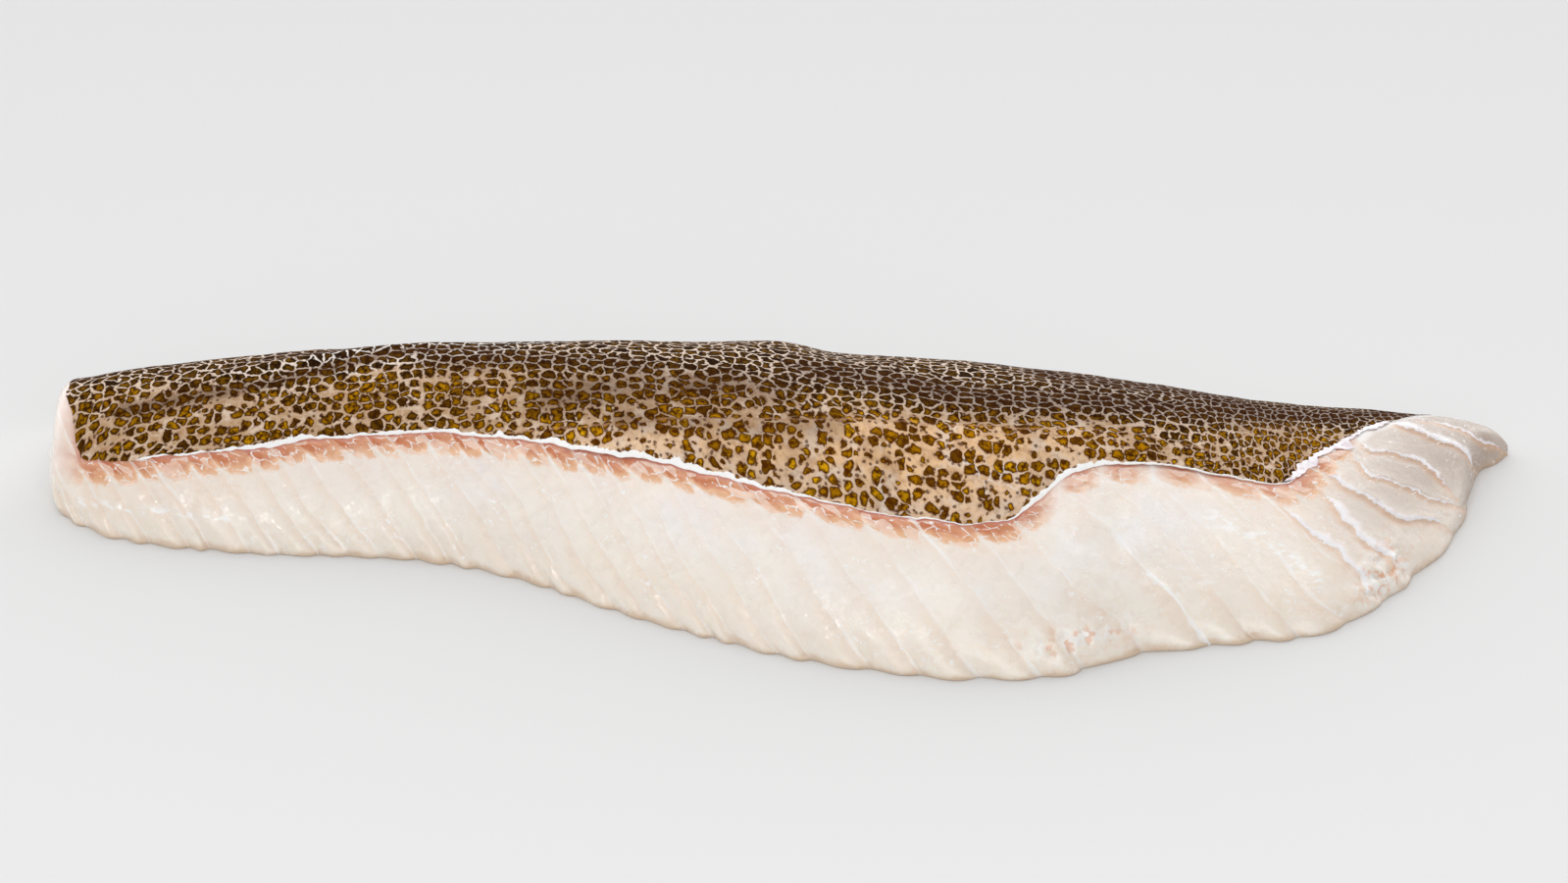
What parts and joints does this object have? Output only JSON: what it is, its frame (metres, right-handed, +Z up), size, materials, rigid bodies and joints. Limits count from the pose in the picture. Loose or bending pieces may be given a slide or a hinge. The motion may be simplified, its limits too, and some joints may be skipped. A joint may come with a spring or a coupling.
{
  "type": "cod fillet",
  "caption": "Raw side of cod lying skin up: thick white flaked flesh on a flat cut base, spotted brown skin over its back, tapering to a thin shoulder tip.",
  "frame": {"origin": "on the floor plane under the middle of the fillet's box", "axes": "+X from the tail cut to the shoulder tip, -Y the side where the cut flesh shows, +Z up through the skin"},
  "size_m": [0.4098, 0.1505, 0.0462],
  "materials": {
    "flesh": "wet, slightly translucent cream-white fish flesh",
    "skin": "wet brown-olive spots on pale beige, with a white cut edge"
  },
  "bodies": {
    "root": {"flesh": "flesh", "skin": "skin"}
  },
  "joints": []
}
